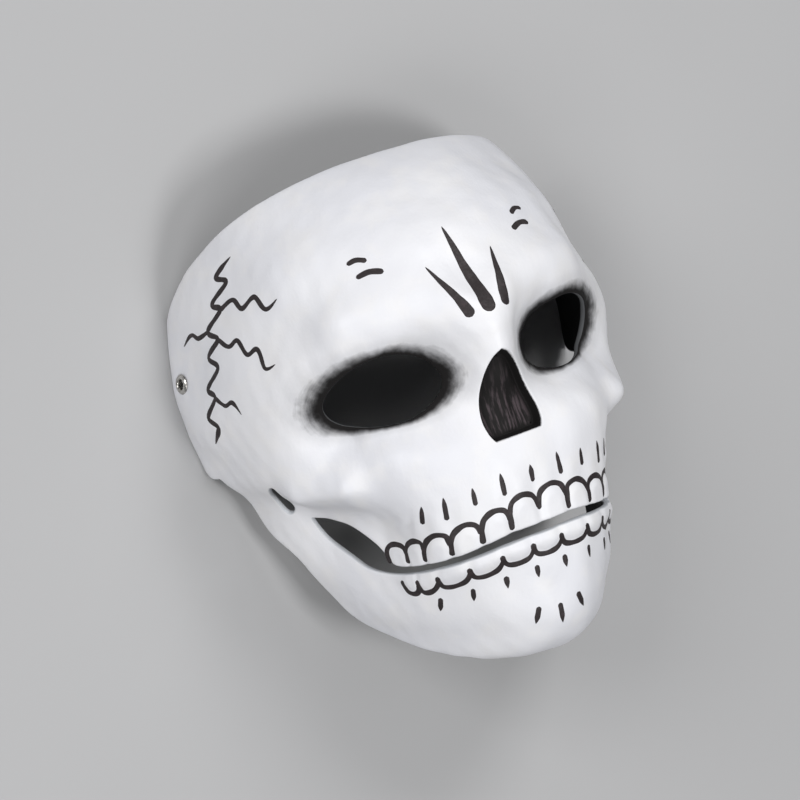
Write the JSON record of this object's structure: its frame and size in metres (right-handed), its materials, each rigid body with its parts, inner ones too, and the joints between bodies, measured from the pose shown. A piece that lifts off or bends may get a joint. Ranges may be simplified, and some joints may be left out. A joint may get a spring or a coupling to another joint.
{
  "type": "skull mask",
  "caption": "Full-face skull mask, a thin moulded shell with pierced eyes, slit mouth and strap eyelets.",
  "frame": {"origin": "middle of the footprint, on the surface that the rear rim rests on", "axes": "+X across the face, +Y towards the crown, +Z out of the face; the mask lies face up"},
  "size_m": [0.1846, 0.2124, 0.1155],
  "materials": {
    "painted_resin": "satin white paint on moulded resin with hand-painted black marks",
    "eyelet_metal": "pressed nickel-plated eyelet"
  },
  "bodies": {
    "root": {"mask_shell": "painted_resin", "eyelet_left": "eyelet_metal", "eyelet_right": "eyelet_metal"}
  },
  "joints": []
}
